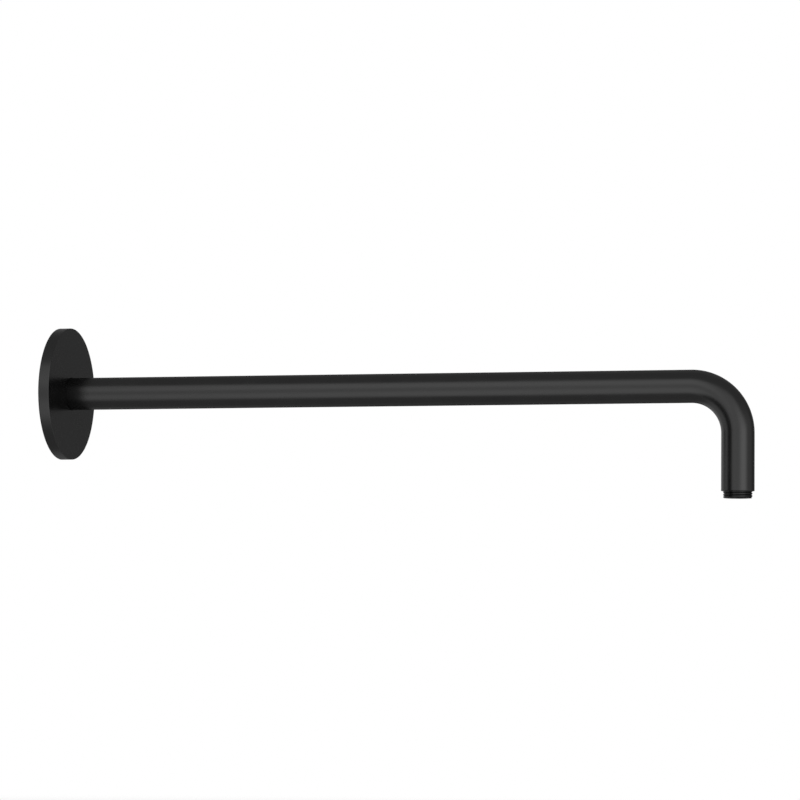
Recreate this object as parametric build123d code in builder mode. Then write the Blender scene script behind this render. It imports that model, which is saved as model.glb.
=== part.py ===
# Round wall-mounted shower arm with an outlet that points down.
#
# A brass tube is bent through a right angle and has a turned nipple brazed into each end. The inlet
# nipple screws into the water outlet in the wall, and the outlet nipple takes the shower head. A hollow
# wall flange slides on the tube and covers the hole in the wall. A rubber ring in the flange's collar
# grips the tube, so that the flange stays where it is pushed.
#
# Frame: the origin is the centre of the wall plane, on the arm's axis. +X runs along the arm, away from
# the wall, and +Z is up.

import os

from build123d import *

# Driving dimensions, in millimetres

# Arm tube
tube_diameter = 24.0
tube_wall = 2.0
reach = 517.0  # from the wall plane to the outlet's axis
bend_radius = 34.0  # to the tube's centre line
drop = 75.6  # from the arm's axis down to the tube's lower end
tube_setback = 1.0  # how far the tube's inlet end stays clear of the wall
tube_edge_chamfer = 0.2

# Nipples, with the outside diameter of a G 1/2 pipe thread
thread_diameter = 20.955
inlet_thread_length = 14.0
outlet_thread_length = 5.1
thread_lead_in = 0.5
nipple_wall = 2.4  # where it is thinnest
waterway_countersink = 0.6
plug_length = 12.0  # how far a nipple reaches into the tube
plug_lead_in = 0.5
braze_gap = 0.05  # between the tube's bore and a nipple's plug, on the radius

# Wall flange
flange_diameter = 98.4
flange_height = 8.2
flange_face_thickness = 2.0
flange_rim_thickness = 2.0
flange_edge_rounding = 0.3
flange_root_bevel = 0.8  # inside the hollow, where the rim and the collar meet the face
flange_clearance = 0.25  # between the flange's bore and the tube, on the radius
collar_thickness = 1.6  # behind the seal ring's groove
collar_setback = 1.0  # how far the collar stays clear of the wall
collar_lead_in = 0.4

# Seal ring in the flange's collar
ring_thickness = 2.0  # on the radius
ring_width = 2.4
ring_lead_in = 0.4
ring_grip_clearance = 0.05  # between the ring and the tube, on the radius
ring_seat_clearance = 0.05  # between the ring and the bottom of its groove
groove_side_clearance = 0.1

# Sizes that follow from them

tube_radius = tube_diameter / 2
tube_bore_radius = tube_radius - tube_wall
plug_radius = tube_bore_radius - braze_gap
thread_radius = thread_diameter / 2
waterway_radius = min(plug_radius, thread_radius) - nipple_wall

ring_inner_radius = tube_radius + ring_grip_clearance
ring_outer_radius = ring_inner_radius + ring_thickness
groove_radius = ring_outer_radius + ring_seat_clearance
groove_width = ring_width + 2 * groove_side_clearance
groove_centre = (collar_setback + flange_height) / 2

flange_radius = flange_diameter / 2
flange_bore_radius = tube_radius + flange_clearance
collar_radius = groove_radius + collar_thickness
hollow_depth = flange_height - flange_face_thickness
hollow_radius = flange_radius - flange_rim_thickness

arm_axis = Axis.X
inlet_end = Plane(origin=(tube_setback, 0, 0), x_dir=(0, 1, 0), z_dir=(-1, 0, 0))
outlet_end = Plane(origin=(reach, 0, -drop), x_dir=(1, 0, 0), z_dir=(0, 0, -1))


# Arm tube: one ring section swept along the bent centre line

with BuildPart() as arm_tube:
    with BuildLine() as centre_line:
        FilletPolyline(inlet_end.origin, (reach, 0, 0), outlet_end.origin, radius=bend_radius)
    with BuildSketch(Plane(origin=centre_line.line @ 0, z_dir=centre_line.line % 0)) as tube_section:
        Circle(tube_radius)
        Circle(tube_bore_radius, mode=Mode.SUBTRACT)
    sweep(path=centre_line.line)
    tube_ends = arm_tube.faces().filter_by(GeomType.PLANE)
    chamfer([face.outer_wire().edge() for face in tube_ends], length=tube_edge_chamfer)
arm_tube.part.label = "arm_tube"


# Nipples: turned pieces, with a plug inside the tube and a thread outside it


def turned_nipple(tube_end, thread_length):
    """A nipple on one end of the tube. The plane lies on the tube's end face and looks out of it."""
    section = Plane(origin=tube_end.origin, x_dir=tube_end.x_dir, z_dir=-tube_end.y_dir)
    with BuildPart() as nipple:
        with BuildSketch(section):
            with BuildLine():
                Polyline(
                    (waterway_radius, -plug_length),
                    (plug_radius - plug_lead_in, -plug_length),
                    (plug_radius, plug_lead_in - plug_length),
                    (plug_radius, 0),
                    (thread_radius, 0),
                    (thread_radius, thread_length - thread_lead_in),
                    (thread_radius - thread_lead_in, thread_length),
                    (waterway_radius + waterway_countersink, thread_length),
                    (waterway_radius, thread_length - waterway_countersink),
                    close=True,
                )
            make_face()
        revolve(axis=Axis(tube_end.origin, tube_end.z_dir))
    return nipple


inlet_nipple = turned_nipple(inlet_end, inlet_thread_length)
inlet_nipple.part.label = "inlet_nipple"

outlet_nipple = turned_nipple(outlet_end, outlet_thread_length)
outlet_nipple.part.label = "outlet_nipple"


# Wall flange: a shallow hollow disc, with a grooved collar round the tube

with BuildPart() as wall_flange:
    with BuildSketch(Plane.XZ) as flange_section:
        with Locations((0, flange_bore_radius)):
            Rectangle(flange_height, flange_radius - flange_bore_radius, align=(Align.MIN, Align.MIN))
        with Locations((0, collar_radius)):
            Rectangle(
                hollow_depth,
                hollow_radius - collar_radius,
                align=(Align.MIN, Align.MIN),
                mode=Mode.SUBTRACT,
            )
        hollow_roots = flange_section.vertices().group_by(Axis.X)[1]
        chamfer(hollow_roots, length=flange_root_bevel)
        with Locations((0, flange_bore_radius)):
            Rectangle(
                collar_setback,
                collar_radius - flange_bore_radius,
                align=(Align.MIN, Align.MIN),
                mode=Mode.SUBTRACT,
            )
        collar_mouth = flange_section.vertices().sort_by_distance((collar_setback, flange_bore_radius))[0]
        chamfer(collar_mouth, length=collar_lead_in)
        with Locations((groove_centre, flange_bore_radius)):
            Rectangle(
                groove_width,
                groove_radius - flange_bore_radius,
                align=(Align.CENTER, Align.MIN),
                mode=Mode.SUBTRACT,
            )
    revolve(axis=arm_axis)
    front_circles = wall_flange.edges().filter_by(GeomType.CIRCLE).group_by(Axis.X)[-1]
    fillet(front_circles.sort_by(SortBy.RADIUS)[-1], radius=flange_edge_rounding)
wall_flange.part.label = "wall_flange"


# Seal ring: a square-cut rubber ring that sits in the collar's groove and grips the tube

with BuildPart() as flange_seal_ring:
    with BuildSketch(Plane.XZ) as ring_section:
        with Locations((groove_centre, ring_inner_radius)):
            Rectangle(ring_width, ring_thickness, align=(Align.CENTER, Align.MIN))
        chamfer(ring_section.vertices().group_by(Axis.Y)[0], length=ring_lead_in)
    revolve(axis=arm_axis)
flange_seal_ring.part.label = "flange_seal_ring"


os.makedirs("parts", exist_ok=True)
export_step(arm_tube.part, "parts/arm_tube.step")
export_step(inlet_nipple.part, "parts/inlet_nipple.step")
export_step(outlet_nipple.part, "parts/outlet_nipple.step")
export_step(wall_flange.part, "parts/wall_flange.step")
export_step(flange_seal_ring.part, "parts/flange_seal_ring.step")
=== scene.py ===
import math
from collections import namedtuple

import bmesh
import bpy
from mathutils import Matrix, Vector


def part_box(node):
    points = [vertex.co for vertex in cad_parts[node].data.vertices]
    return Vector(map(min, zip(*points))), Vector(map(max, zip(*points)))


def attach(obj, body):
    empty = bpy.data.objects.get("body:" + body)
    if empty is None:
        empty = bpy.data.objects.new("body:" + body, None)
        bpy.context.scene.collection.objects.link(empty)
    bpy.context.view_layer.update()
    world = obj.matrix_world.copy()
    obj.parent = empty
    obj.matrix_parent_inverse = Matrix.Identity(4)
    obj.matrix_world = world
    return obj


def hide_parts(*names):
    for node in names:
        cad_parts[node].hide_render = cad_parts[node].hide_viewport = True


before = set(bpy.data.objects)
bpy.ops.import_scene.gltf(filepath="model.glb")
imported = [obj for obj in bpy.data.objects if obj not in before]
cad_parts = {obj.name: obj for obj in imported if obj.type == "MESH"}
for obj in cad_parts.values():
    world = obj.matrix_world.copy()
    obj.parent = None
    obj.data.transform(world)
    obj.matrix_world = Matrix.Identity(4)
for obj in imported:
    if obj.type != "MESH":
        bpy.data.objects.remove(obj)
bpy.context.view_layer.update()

MM = 0.001

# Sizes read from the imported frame, in metres

tube_low, tube_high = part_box("arm_tube")
_, flange_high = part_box("wall_flange")
ring_low, ring_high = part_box("flange_seal_ring")
inlet_low, inlet_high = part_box("inlet_nipple")
outlet_low, outlet_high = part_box("outlet_nipple")

TUBE_RADIUS = tube_high.z
REACH = tube_high.x - TUBE_RADIUS
INLET_X = tube_low.x
OUTLET_Z = tube_low.z
FLANGE_HEIGHT = flange_high.x
FLANGE_RADIUS = flange_high.z
RING_OUTER_RADIUS = ring_high.z
THREAD_RADIUS = inlet_high.y
PLUG_LENGTH = outlet_high.z - OUTLET_Z
INLET_THREAD_LENGTH = INLET_X - inlet_low.x
OUTLET_THREAD_LENGTH = OUTLET_Z - outlet_low.z

# Sizes that no box shows

BEND_RADIUS = 34.0 * MM
TUBE_WALL = 2.0 * MM
TUBE_CHAMFER = 0.2 * MM
PLUG_RADIUS = 9.95 * MM
PLUG_LEAD_IN = 0.5 * MM
WATERWAY_RADIUS = 7.55 * MM
COUNTERSINK = 0.6 * MM
THREAD_LEAD_IN = 0.5 * MM
FLANGE_FACE_THICKNESS = 2.0 * MM
FLANGE_RIM_THICKNESS = 2.0 * MM
FLANGE_ROUNDING = 0.3 * MM
FLANGE_ROOT_BEVEL = 0.8 * MM
FLANGE_BORE_RADIUS = 12.25 * MM
COLLAR_RADIUS = 15.7 * MM
COLLAR_SETBACK = 1.0 * MM
COLLAR_LEAD_IN = 0.4 * MM
GROOVE_RADIUS = 14.1 * MM
GROOVE_SIDE_CLEARANCE = 0.1 * MM
RING_GRIP_GAP = 0.01 * MM  # a hair, because the ring grips the tube
RING_LEAD_IN = 0.4 * MM
EDGE_BREAK = 0.12 * MM  # the rounding of edges that have no size of their own

# Pipe thread G 1/2, with the broad crests and shallow grooves that a coat leaves

THREAD_PITCH = 1.814 * MM
THREAD_DEPTH = 0.65 * MM
THREAD_CREST = 0.75 * MM  # the width of a crest's flat top
THREAD_ROOT = 0.1 * MM  # the width of a groove's flat bottom
THREAD_RUN_OUT = 0.9 * MM  # over which the groove gets shallow, at the tube's end

# Fineness of the meshes

TUBE_SEGMENTS = 128  # round the tube and the seal ring
FLANGE_SEGMENTS = 256
THREAD_SEGMENTS = 160
THREAD_ROW = 0.075 * MM  # the most that two rings of a thread lie apart
RUN_STATIONS = 48  # rings along the tube's run, and below along its bend and its drop
BEND_STATIONS = 48
DROP_STATIONS = 8
ARC_STEPS = 6  # in the rounding of a corner
GUARD = 0.3 * MM  # from a rounding to the point that keeps its shading off the flat beside it
GUARDED_SIDE = 4 * GUARD  # a shorter side gets no such point
SHARP_ANGLE = math.radians(40)

ALONG = Vector((1, 0, 0))
SIDE = Vector((0, 1, 0))
UP = Vector((0, 0, 1))


# Outlines: points (distance along a line, radius about it), closed

Corner = namedtuple("Corner", "distance radius rounding", defaults=[0.0])


def rounded(corners):
    """The outline through corners, with each rounding as an arc and guard points on the long sides."""
    points = []
    count = len(corners)
    for index, corner in enumerate(corners):
        here = Vector(corner[:2])
        if corner.rounding == 0:
            points.append(tuple(here))
            continue
        to_last = Vector(corners[index - 1][:2]) - here
        to_next = Vector(corners[(index + 1) % count][:2]) - here
        last_side = to_last.normalized()
        next_side = to_next.normalized()
        half_turn = to_last.angle(to_next) / 2
        trim = corner.rounding / math.tan(half_turn)
        centre = here + (last_side + next_side).normalized() * corner.rounding / math.sin(half_turn)
        start_arm = (here + last_side * trim - centre).normalized()
        end_arm = (here + next_side * trim - centre).normalized()
        if to_last.length > GUARDED_SIDE:
            points.append(tuple(here + last_side * (trim + GUARD)))
        for step in range(ARC_STEPS + 1):
            points.append(tuple(centre + start_arm.slerp(end_arm, step / ARC_STEPS) * corner.rounding))
        if to_next.length > GUARDED_SIDE:
            points.append(tuple(here + next_side * (trim + GUARD)))
    return points


def with_stations(outline, stations):
    """The outline with points added on its level sides, at the stations along the line."""
    made = []
    for here, there in zip(outline, outline[1:] + outline[:1]):
        made.append(here)
        low, high = sorted((here[0], there[0]))
        between = [station for station in stations if low + GUARD < station < high - GUARD]
        if there[0] < here[0]:
            between.reverse()
        made += [(station, here[1]) for station in between]
    return made


# Lines: functions from a distance to a point and two directions across the line there

run_length = REACH - BEND_RADIUS - INLET_X
bend_length = BEND_RADIUS * math.pi / 2
drop_length = -OUTLET_Z - BEND_RADIUS
arm_length = run_length + bend_length + drop_length


def arm_line(distance):
    """The arm's centre line from its inlet end: a straight run, a quarter turn down and a drop."""
    turn = min(max(distance - run_length, 0), bend_length) / BEND_RADIUS
    past_bend = max(distance - run_length - bend_length, 0)
    x = INLET_X + min(distance, run_length) + BEND_RADIUS * math.sin(turn)
    z = -BEND_RADIUS * (1 - math.cos(turn)) - past_bend
    return Vector((x, 0, z)), Vector((math.sin(turn), 0, math.cos(turn))), SIDE


def straight_line(start, direction, across):
    """A straight line. One direction across it is given, and the other is square to that."""

    def line(distance):
        return start + direction * distance, across, direction.cross(across)

    return line


# Meshes


def ringed_piece(name, line, rings, segments):
    """A closed skin through rings round a line. A ring's radius may be a function of the angle."""
    points = []
    for distance, radius in rings:
        centre, first, second = line(distance)
        for step in range(segments):
            angle = math.tau * step / segments
            radius_here = radius(angle) if callable(radius) else radius
            points.append(centre + radius_here * (math.cos(angle) * first + math.sin(angle) * second))
    faces = []
    for ring in range(len(rings)):
        here = ring * segments
        there = (ring + 1) % len(rings) * segments
        for step in range(segments):
            after = (step + 1) % segments
            faces.append((here + step, here + after, there + after, there + step))
    mesh = bpy.data.meshes.new(name)
    mesh.from_pydata(points, [], faces)
    skin = bmesh.new()
    skin.from_mesh(mesh)
    bmesh.ops.recalc_face_normals(skin, faces=skin.faces)
    skin.to_mesh(mesh)
    skin.free()
    mesh.shade_smooth()
    mesh.set_sharp_from_angle(angle=SHARP_ANGLE)
    piece = bpy.data.objects.new(name, mesh)
    bpy.context.scene.collection.objects.link(piece)
    return piece


def make_tube():
    bore_radius = TUBE_RADIUS - TUBE_WALL
    stations = [run_length * step / RUN_STATIONS for step in range(RUN_STATIONS)]
    stations += [run_length + bend_length * step / BEND_STATIONS for step in range(BEND_STATIONS)]
    stations += [arm_length + drop_length * (step / DROP_STATIONS - 1) for step in range(DROP_STATIONS)]
    outline = rounded([
        Corner(0, bore_radius, EDGE_BREAK),
        Corner(0, TUBE_RADIUS - TUBE_CHAMFER, EDGE_BREAK),
        Corner(TUBE_CHAMFER, TUBE_RADIUS, EDGE_BREAK),
        Corner(arm_length - TUBE_CHAMFER, TUBE_RADIUS, EDGE_BREAK),
        Corner(arm_length, TUBE_RADIUS - TUBE_CHAMFER, EDGE_BREAK),
        Corner(arm_length, bore_radius, EDGE_BREAK),
    ])
    return ringed_piece("coated_tube", arm_line, with_stations(outline, stations), TUBE_SEGMENTS)


def groove_depth(offset):
    """The thread's depth below its crests at an offset along the axis from the middle of a crest."""
    from_crest = abs((offset / THREAD_PITCH + 0.5) % 1 - 0.5) * THREAD_PITCH
    flank_width = (THREAD_PITCH - THREAD_CREST - THREAD_ROOT) / 2
    down_flank = min(max((from_crest - THREAD_CREST / 2) / flank_width, 0), 1)
    return THREAD_DEPTH * (1 - math.cos(math.pi * down_flank)) / 2


def thread_ring(distance, length):
    """The ring of a right-handed thread at a distance from the tube's end, as (distance, radius)."""
    run_out = min(distance / THREAD_RUN_OUT, 1)
    lead_in_radius = THREAD_RADIUS - max(distance - (length - THREAD_LEAD_IN), 0)

    def radius(angle):
        groove = groove_depth(distance - THREAD_PITCH * angle / math.tau)
        return min(THREAD_RADIUS - groove * run_out, lead_in_radius)

    return distance, radius


def make_nipple(name, line, thread_length):
    mouth_radius = WATERWAY_RADIUS + COUNTERSINK
    rows = math.ceil(thread_length / THREAD_ROW)
    rings = [
        (thread_length, mouth_radius),
        (thread_length - COUNTERSINK, WATERWAY_RADIUS),
        (-PLUG_LENGTH, WATERWAY_RADIUS),
        (-PLUG_LENGTH, PLUG_RADIUS - PLUG_LEAD_IN),
        (PLUG_LEAD_IN - PLUG_LENGTH, PLUG_RADIUS),
        (0, PLUG_RADIUS),
    ]
    rings += [thread_ring(thread_length * row / rows, thread_length) for row in range(rows + 1)]
    return ringed_piece(name, line, rings, THREAD_SEGMENTS)


def make_flange():
    hollow_depth = FLANGE_HEIGHT - FLANGE_FACE_THICKNESS
    hollow_radius = FLANGE_RADIUS - FLANGE_RIM_THICKNESS
    groove_back = ring_low.x - GROOVE_SIDE_CLEARANCE
    groove_front = ring_high.x + GROOVE_SIDE_CLEARANCE
    outline = rounded([
        Corner(FLANGE_HEIGHT, FLANGE_BORE_RADIUS, EDGE_BREAK),
        Corner(FLANGE_HEIGHT, FLANGE_RADIUS, FLANGE_ROUNDING),
        Corner(0, FLANGE_RADIUS, EDGE_BREAK),
        Corner(0, hollow_radius, EDGE_BREAK),
        Corner(hollow_depth - FLANGE_ROOT_BEVEL, hollow_radius, EDGE_BREAK),
        Corner(hollow_depth, hollow_radius - FLANGE_ROOT_BEVEL, EDGE_BREAK),
        Corner(hollow_depth, COLLAR_RADIUS + FLANGE_ROOT_BEVEL, EDGE_BREAK),
        Corner(hollow_depth - FLANGE_ROOT_BEVEL, COLLAR_RADIUS, EDGE_BREAK),
        Corner(COLLAR_SETBACK, COLLAR_RADIUS, EDGE_BREAK),
        Corner(COLLAR_SETBACK, FLANGE_BORE_RADIUS + COLLAR_LEAD_IN, EDGE_BREAK),
        Corner(COLLAR_SETBACK + COLLAR_LEAD_IN, FLANGE_BORE_RADIUS, EDGE_BREAK),
        Corner(groove_back, FLANGE_BORE_RADIUS, EDGE_BREAK),
        Corner(groove_back, GROOVE_RADIUS),
        Corner(groove_front, GROOVE_RADIUS),
        Corner(groove_front, FLANGE_BORE_RADIUS, EDGE_BREAK),
    ])
    return ringed_piece("coated_flange", straight_line(Vector(), ALONG, UP), outline, FLANGE_SEGMENTS)


def make_seal_ring():
    inner_radius = TUBE_RADIUS + RING_GRIP_GAP
    outline = rounded([
        Corner(ring_high.x, inner_radius + RING_LEAD_IN, EDGE_BREAK),
        Corner(ring_high.x, RING_OUTER_RADIUS, EDGE_BREAK),
        Corner(ring_low.x, RING_OUTER_RADIUS, EDGE_BREAK),
        Corner(ring_low.x, inner_radius + RING_LEAD_IN, EDGE_BREAK),
        Corner(ring_low.x + RING_LEAD_IN, inner_radius, EDGE_BREAK),
        Corner(ring_high.x - RING_LEAD_IN, inner_radius, EDGE_BREAK),
    ])
    return ringed_piece("rubber_seal_ring", straight_line(Vector(), ALONG, UP), outline, TUBE_SEGMENTS)


# Node helpers


def feed(tree, socket, value):
    """Sets a socket to a number or links it to another socket."""
    if isinstance(value, bpy.types.NodeSocket):
        tree.links.new(value, socket)
    else:
        socket.default_value = value


def calculate(tree, operation, *values):
    node = tree.nodes.new("ShaderNodeMath")
    node.operation = operation
    for socket, value in zip(node.inputs, values):
        feed(tree, socket, value)
    return node.outputs[0]


def map_range(tree, value, from_low, from_high, to_low, to_high, interpolation="LINEAR"):
    node = tree.nodes.new("ShaderNodeMapRange")
    node.interpolation_type = interpolation
    for socket, number in zip(node.inputs, (value, from_low, from_high, to_low, to_high)):
        feed(tree, socket, number)
    return node.outputs[0]


def noise(tree, coordinates, size, detail):
    """Noise whose features are about so large, in metres."""
    node = tree.nodes.new("ShaderNodeTexNoise")
    node.inputs["Scale"].default_value = 1 / size
    node.inputs["Detail"].default_value = detail
    tree.links.new(coordinates, node.inputs["Vector"])
    return node.outputs["Fac"]


def new_material(name):
    material = bpy.data.materials.new(name)
    material.use_nodes = True
    return material, material.node_tree, material.node_tree.nodes["Principled BSDF"]


def object_coordinates(tree):
    return tree.nodes.new("ShaderNodeTexCoord").outputs["Object"]


def add_bump(tree, shader, height, depth):
    bump = tree.nodes.new("ShaderNodeBump")
    bump.inputs["Distance"].default_value = depth
    tree.links.new(height, bump.inputs["Height"])
    tree.links.new(bump.outputs["Normal"], shader.inputs["Normal"])


def grey_between(tree, factor, dark, pale):
    mix = tree.nodes.new("ShaderNodeMix")
    mix.data_type = "RGBA"
    mix.inputs["A"].default_value = (*dark, 1)
    mix.inputs["B"].default_value = (*pale, 1)
    tree.links.new(factor, mix.inputs["Factor"])
    return mix.outputs["Result"]


# Materials. Tones are pairs of a dark and a pale colour.

COAT_TONES = ((0.043, 0.043, 0.043), (0.049, 0.049, 0.049))
THREAD_SHADE_TONES = ((0.026, 0.026, 0.026), (0.029, 0.029, 0.029))  # painted shade: a darker copy of the coat that stands for the shade in the threads' grooves
COAT_METALLIC = 0.96
COAT_EDGE_TINT = (0.55, 0.55, 0.55, 1)
COAT_ROUGHNESS = (0.23, 0.28)
COAT_CLOUD_SIZE = 18 * MM
COAT_GRAIN_SIZE = 0.7 * MM
COAT_GRAIN_DEPTH = 0.008 * MM

RUBBER_TONES = ((0.010, 0.010, 0.010), (0.018, 0.018, 0.018))
RUBBER_ROUGHNESS = (0.6, 0.8)
RUBBER_GRAIN_SIZE = 0.4 * MM
RUBBER_GRAIN_DEPTH = 0.02 * MM

CLOUD_DETAIL = 2  # the noise's finer layers
GRAIN_DETAIL = 3
NOISE_SPAN = (0.3, 0.7)  # the values that most of the noise has


def satin_coat(name, tones):
    """Thin satin black coat: a fine grain, and faint clouds of gloss and tone."""
    material, tree, shader = new_material(name)
    shader.inputs["Metallic"].default_value = COAT_METALLIC
    shader.inputs["Specular Tint"].default_value = COAT_EDGE_TINT
    place = object_coordinates(tree)
    clouds = noise(tree, place, COAT_CLOUD_SIZE, CLOUD_DETAIL)
    tree.links.new(grey_between(tree, clouds, *tones), shader.inputs["Base Color"])
    tree.links.new(map_range(tree, clouds, *NOISE_SPAN, *COAT_ROUGHNESS), shader.inputs["Roughness"])
    add_bump(tree, shader, noise(tree, place, COAT_GRAIN_SIZE, GRAIN_DETAIL), COAT_GRAIN_DEPTH)
    return material


def seal_rubber():
    """Matte black rubber with a fine grain."""
    material, tree, shader = new_material("matte_black_rubber")
    grain = noise(tree, object_coordinates(tree), RUBBER_GRAIN_SIZE, GRAIN_DETAIL)
    tree.links.new(grey_between(tree, grain, *RUBBER_TONES), shader.inputs["Base Color"])
    tree.links.new(map_range(tree, grain, *NOISE_SPAN, *RUBBER_ROUGHNESS), shader.inputs["Roughness"])
    add_bump(tree, shader, grain, RUBBER_GRAIN_DEPTH)
    return material


def dress(piece, node, body, material):
    """Puts a piece in a node's place, on the node's body and with a material."""
    piece.data.materials.append(material)
    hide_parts(node)
    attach(piece, body)


inlet_line = straight_line(Vector((INLET_X, 0, 0)), -ALONG, UP)
outlet_line = straight_line(Vector((REACH, 0, OUTLET_Z)), -UP, ALONG)
coat = satin_coat("satin_black_coat", COAT_TONES)
# The threads get a darker copy of the coat, which is painted shade for their grooves
shaded_thread_coat = satin_coat("thread_coat_with_painted_shade", THREAD_SHADE_TONES)
dress(make_tube(), "arm_tube", "arm", coat)
inlet_nipple = make_nipple("coated_inlet_nipple", inlet_line, INLET_THREAD_LENGTH)
dress(inlet_nipple, "inlet_nipple", "arm", shaded_thread_coat)
outlet_nipple = make_nipple("coated_outlet_nipple", outlet_line, OUTLET_THREAD_LENGTH)
dress(outlet_nipple, "outlet_nipple", "arm", shaded_thread_coat)
dress(make_flange(), "wall_flange", "flange", coat)
dress(make_seal_ring(), "flange_seal_ring", "flange", seal_rubber())


# Camera, at the photograph's place

IMAGE_SIZE = 800  # in pixels
FOCAL_LENGTH_IN_PIXELS = 4333.1
CAMERA_DISTANCE = 3.18252
CAMERA_AZIMUTH = math.radians(16.2505)
CAMERA_ELEVATION = math.radians(-3.7017)
CAMERA_ROLL = math.radians(0.4009)
AIM_AT = Vector((0.250, 0, 0))
AIM_RIGHT = 0.013916  # how far to the right of that point, and above it, the camera looks
AIM_UP = -0.007206


def direction_to(azimuth, elevation):
    """The direction from the arm to an azimuth, measured from the front towards +X, and an elevation."""
    return Vector((
        math.sin(azimuth) * math.cos(elevation),
        -math.cos(azimuth) * math.cos(elevation),
        math.sin(elevation),
    ))


def make_camera():
    back = direction_to(CAMERA_AZIMUTH, CAMERA_ELEVATION)
    level_right = Vector((math.cos(CAMERA_AZIMUTH), math.sin(CAMERA_AZIMUTH), 0))
    level_up = back.cross(level_right)
    right = math.cos(CAMERA_ROLL) * level_right + math.sin(CAMERA_ROLL) * level_up
    up = back.cross(right)
    camera = bpy.data.objects.new("camera", bpy.data.cameras.new("camera"))
    camera.data.lens = camera.data.sensor_width * FOCAL_LENGTH_IN_PIXELS / IMAGE_SIZE
    place = Matrix((right, up, back)).transposed().to_4x4()
    place.translation = AIM_AT + AIM_RIGHT * right + AIM_UP * up + CAMERA_DISTANCE * back
    camera.matrix_world = place
    bpy.context.scene.collection.objects.link(camera)
    bpy.context.scene.camera = camera


# Studio: a white background, soft lamps, a pale floor, and the cards and panels that the coat mirrors

STUDIO_CENTRE = Vector((REACH / 2, 0, 0))
WORLD_DIFFUSE_LEVEL = 0.35
DOME_RADIUS = 6.0
DOME_SUBDIVISIONS = 4
FLOOR_Z = -0.36
FLOOR_RADIUS = 2.4
FLOOR_FADE_START = 0.45 * FLOOR_RADIUS
FLOOR_SEGMENTS = 128
FLOOR_TONES = ((0.80, 0.80, 0.80), (0.86, 0.86, 0.86))
FLOOR_ROUGHNESS = 0.9
FLOOR_GRAIN_SIZE = 6 * MM
FLOOR_GRAIN_DEPTH = 0.05 * MM

# A lamp's angles are in degrees, and its distance and size in metres.
Lamp = namedtuple("Lamp", "name azimuth elevation distance size level")
LAMPS = [
    Lamp("key_lamp", azimuth=50, elevation=50, distance=2.6, size=0.5, level=0.7),
    Lamp("fill_lamp", azimuth=-40, elevation=35, distance=2.6, size=1.6, level=0.2),
]

# Each card covers a span of azimuth and of elevation, in degrees, with soft edges. A later one hides an
# earlier one.
Card = namedtuple("Card", "name azimuth width elevation height soft level")
ROOM_LEVEL = 0.41
CARDS = [
    Card("floor_glow", azimuth=106, width=140, elevation=-52, height=54, soft=14, level=0.95),
    Card("ceiling_glow", azimuth=-92, width=60, elevation=36, height=36, soft=10, level=0.8),
    Card("back_wall", azimuth=168, width=56, elevation=4, height=60, soft=12, level=0.42),
    Card("back_upper_strip", azimuth=180, width=70, elevation=52, height=40, soft=8, level=0.53),
    Card("back_lower_strip", azimuth=180, width=70, elevation=-60, height=30, soft=8, level=0.5),
    Card("back_flag", azimuth=197, width=30, elevation=0, height=60, soft=12, level=0.15),
    Card("right_gap", azimuth=134, width=28, elevation=0, height=50, soft=10, level=0.25),
    Card("right_wall", azimuth=98, width=46, elevation=0, height=50, soft=14, level=0.63),
    Card("left_wall", azimuth=-86, width=46, elevation=-8, height=76, soft=9, level=0.88),
    Card("left_rim_light", azimuth=-128, width=42, elevation=-8, height=70, soft=12, level=1.5),
    Card("front_panel", azimuth=14, width=88, elevation=-1, height=92, soft=9, level=1.06),
    Card("upper_strip", azimuth=-24, width=46, elevation=26.5, height=31, soft=9, level=1.5),
    Card("lower_strip", azimuth=-24, width=46, elevation=-31, height=34, soft=9, level=1.45),
    Card("key_strip", azimuth=53, width=42, elevation=-8, height=48, soft=14, level=1.95),
    Card("dark_flag_foot", azimuth=-46.5, width=27, elevation=-34, height=26, soft=5, level=0.25),
    Card("dark_flag", azimuth=-45, width=30, elevation=4, height=64, soft=4, level=0.1),
]


def make_world():
    """White to the eye and in reflections, and a plain level for everything else."""
    world = bpy.data.worlds.new("studio")
    world.use_nodes = True
    tree = world.node_tree
    path = tree.nodes.new("ShaderNodeLightPath").outputs
    seen = calculate(tree, "MAXIMUM", path["Is Camera Ray"], path["Is Glossy Ray"])
    seen = calculate(tree, "MAXIMUM", seen, path["Is Transmission Ray"])
    background = tree.nodes["Background"]
    background.inputs["Color"].default_value = (1, 1, 1, 1)
    strength = map_range(tree, seen, 0, 1, WORLD_DIFFUSE_LEVEL, 1)
    tree.links.new(strength, background.inputs["Strength"])
    bpy.context.scene.world = world


def make_lamp(lamp):
    """A square soft lamp. Its level is the part of a white surface's brightness that it gives, face on."""
    light = bpy.data.lights.new(lamp.name, "AREA")
    light.size = lamp.size
    light.energy = lamp.level * math.pi**2 * lamp.distance**2
    holder = bpy.data.objects.new(lamp.name, light)
    towards = direction_to(math.radians(lamp.azimuth), math.radians(lamp.elevation))
    holder.location = STUDIO_CENTRE + towards * lamp.distance
    holder.rotation_euler = towards.to_track_quat("Z", "Y").to_euler()
    holder.visible_glossy = False
    bpy.context.scene.collection.objects.link(holder)


def soft_span(tree, angle, centre, width, soft):
    """1 within a span of an angle and 0 outside it, with soft ends, in degrees."""
    off_centre = calculate(tree, "WRAP", calculate(tree, "SUBTRACT", angle, centre), 180, -180)
    off_centre = calculate(tree, "ABSOLUTE", off_centre)
    return map_range(tree, off_centre, width / 2 - soft, width / 2 + soft, 1, 0, "SMOOTHSTEP")


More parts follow.
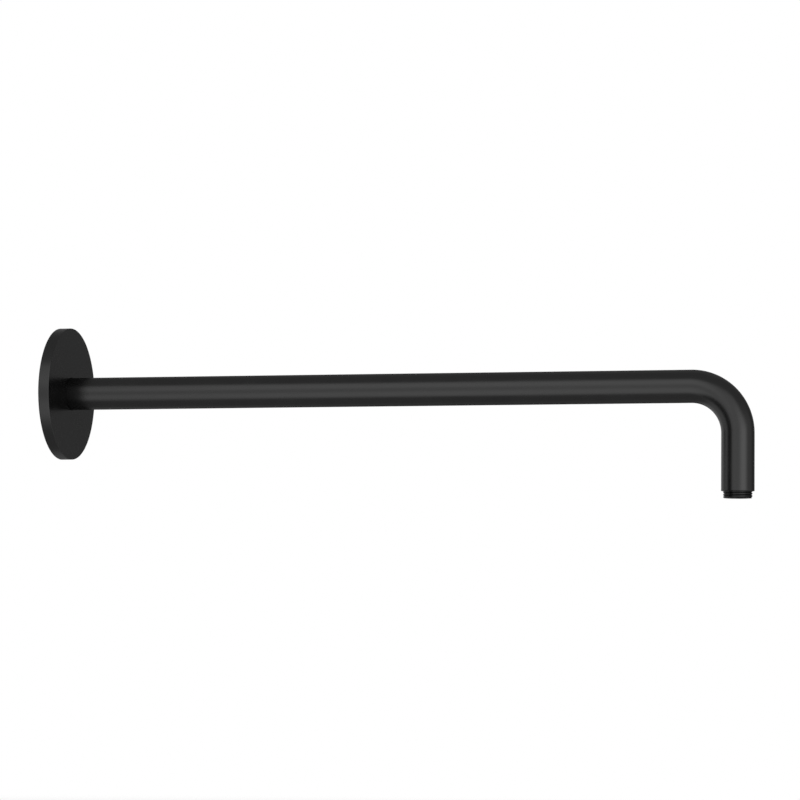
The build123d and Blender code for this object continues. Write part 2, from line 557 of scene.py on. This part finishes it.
def make_dome():
    """The studio's surroundings as the coat mirrors them. Only reflections see the dome."""
    mesh = bpy.data.meshes.new("studio_dome")
    ball = bmesh.new()
    bmesh.ops.create_icosphere(ball, subdivisions=DOME_SUBDIVISIONS, radius=DOME_RADIUS)
    ball.to_mesh(mesh)
    ball.free()
    dome = bpy.data.objects.new("studio_dome", mesh)
    dome.location = STUDIO_CENTRE
    bpy.context.scene.collection.objects.link(dome)
    material, tree, shader = new_material("studio_cards")
    tree.nodes.remove(shader)
    split = tree.nodes.new("ShaderNodeSeparateXYZ")
    tree.links.new(object_coordinates(tree), split.inputs[0])
    x, y, z = split.outputs
    front = calculate(tree, "MULTIPLY", y, -1)
    x_squared = calculate(tree, "POWER", x, 2)
    y_squared = calculate(tree, "POWER", y, 2)
    level_distance = calculate(tree, "SQRT", calculate(tree, "ADD", x_squared, y_squared))
    azimuth = calculate(tree, "DEGREES", calculate(tree, "ARCTAN2", x, front))
    elevation = calculate(tree, "DEGREES", calculate(tree, "ARCTAN2", z, level_distance))
    level = ROOM_LEVEL
    for card in CARDS:
        across = soft_span(tree, azimuth, card.azimuth, card.width, card.soft)
        upright = soft_span(tree, elevation, card.elevation, card.height, card.soft)
        level = map_range(tree, calculate(tree, "MULTIPLY", across, upright), 0, 1, level, card.level)
    emission = tree.nodes.new("ShaderNodeEmission")
    feed(tree, emission.inputs["Strength"], level)
    tree.links.new(emission.outputs[0], tree.nodes["Material Output"].inputs["Surface"])
    material.cycles.emission_sampling = "NONE"
    mesh.materials.append(material)
    dome.visible_camera = False
    dome.visible_diffuse = False
    dome.visible_transmission = False
    dome.visible_volume_scatter = False
    dome.visible_shadow = False


def make_floor():
    """A pale disc that keeps the arm's shadow and fades into the white background at its edge."""
    mesh = bpy.data.meshes.new("floor")
    disc = bmesh.new()
    bmesh.ops.create_circle(disc, cap_ends=True, radius=FLOOR_RADIUS, segments=FLOOR_SEGMENTS)
    disc.to_mesh(mesh)
    disc.free()
    floor = bpy.data.objects.new("floor", mesh)
    floor.location = Vector((STUDIO_CENTRE.x, 0, FLOOR_Z))
    bpy.context.scene.collection.objects.link(floor)
    material, tree, shader = new_material("pale_floor")
    place = object_coordinates(tree)
    grain = noise(tree, place, FLOOR_GRAIN_SIZE, GRAIN_DETAIL)
    tree.links.new(grey_between(tree, grain, *FLOOR_TONES), shader.inputs["Base Color"])
    shader.inputs["Roughness"].default_value = FLOOR_ROUGHNESS
    shader.inputs["Specular IOR Level"].default_value = 0.0
    add_bump(tree, shader, grain, FLOOR_GRAIN_DEPTH)
    length = tree.nodes.new("ShaderNodeVectorMath")
    length.operation = "LENGTH"
    tree.links.new(place, length.inputs[0])
    from_centre = length.outputs["Value"]
    fade = map_range(tree, from_centre, FLOOR_FADE_START, FLOOR_RADIUS, 1, 0, "SMOOTHSTEP")
    tree.links.new(fade, shader.inputs["Alpha"])
    mesh.materials.append(material)
    floor.visible_glossy = False


make_camera()
make_world()
for lamp in LAMPS:
    make_lamp(lamp)
make_dome()
make_floor()
bpy.context.scene.view_settings.view_transform = "Standard"
